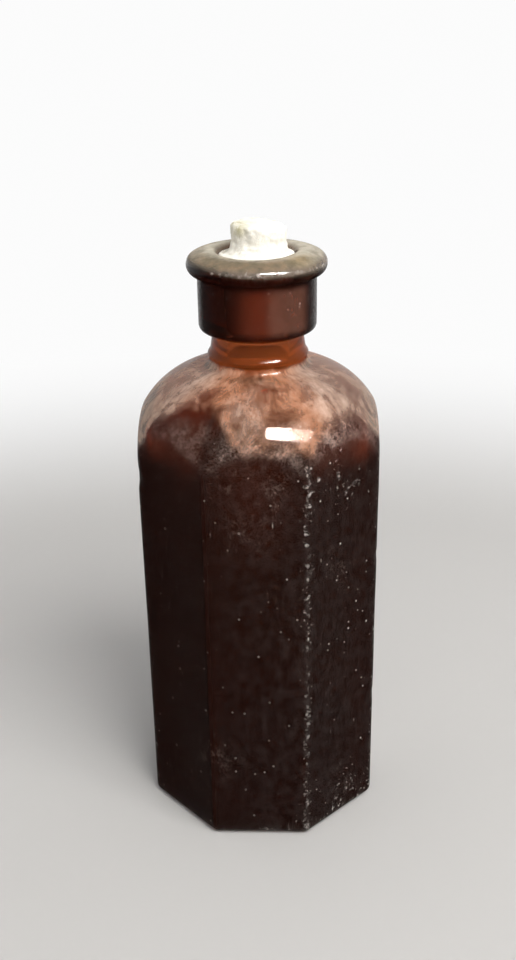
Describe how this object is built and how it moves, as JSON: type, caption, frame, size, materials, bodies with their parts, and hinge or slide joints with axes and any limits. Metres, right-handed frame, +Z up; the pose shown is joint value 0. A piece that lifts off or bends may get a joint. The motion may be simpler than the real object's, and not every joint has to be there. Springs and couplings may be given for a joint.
{
  "type": "reagent bottle",
  "caption": "Octagonal amber glass reagent bottle with a domed shoulder, a collared neck with a rolled lip, and a worn tapered cork that pulls out of the mouth.",
  "frame": {"origin": "middle of the base, on the surface that the bottle stands on", "axes": "+Z up along the bottle's axis to the cork; one flat facet faces -Y, the side towards the camera"},
  "size_m": [0.05, 0.05, 0.1317],
  "materials": {
    "amber_glass": "dark red-brown moulded glass, glossy, dusty on the shoulder and lip, scuffed on the edges",
    "cork": "pale natural cork, dry and crumbling"
  },
  "bodies": {
    "bottle": {"glass_bottle": "amber_glass"},
    "cork": {"cork_stopper": "cork"}
  },
  "joints": [
    {"name": "cork_pull", "type": "slide", "parent": "bottle", "child": "cork", "axis": [0, 0, 1], "range_m": [0, 0.03]}
  ]
}
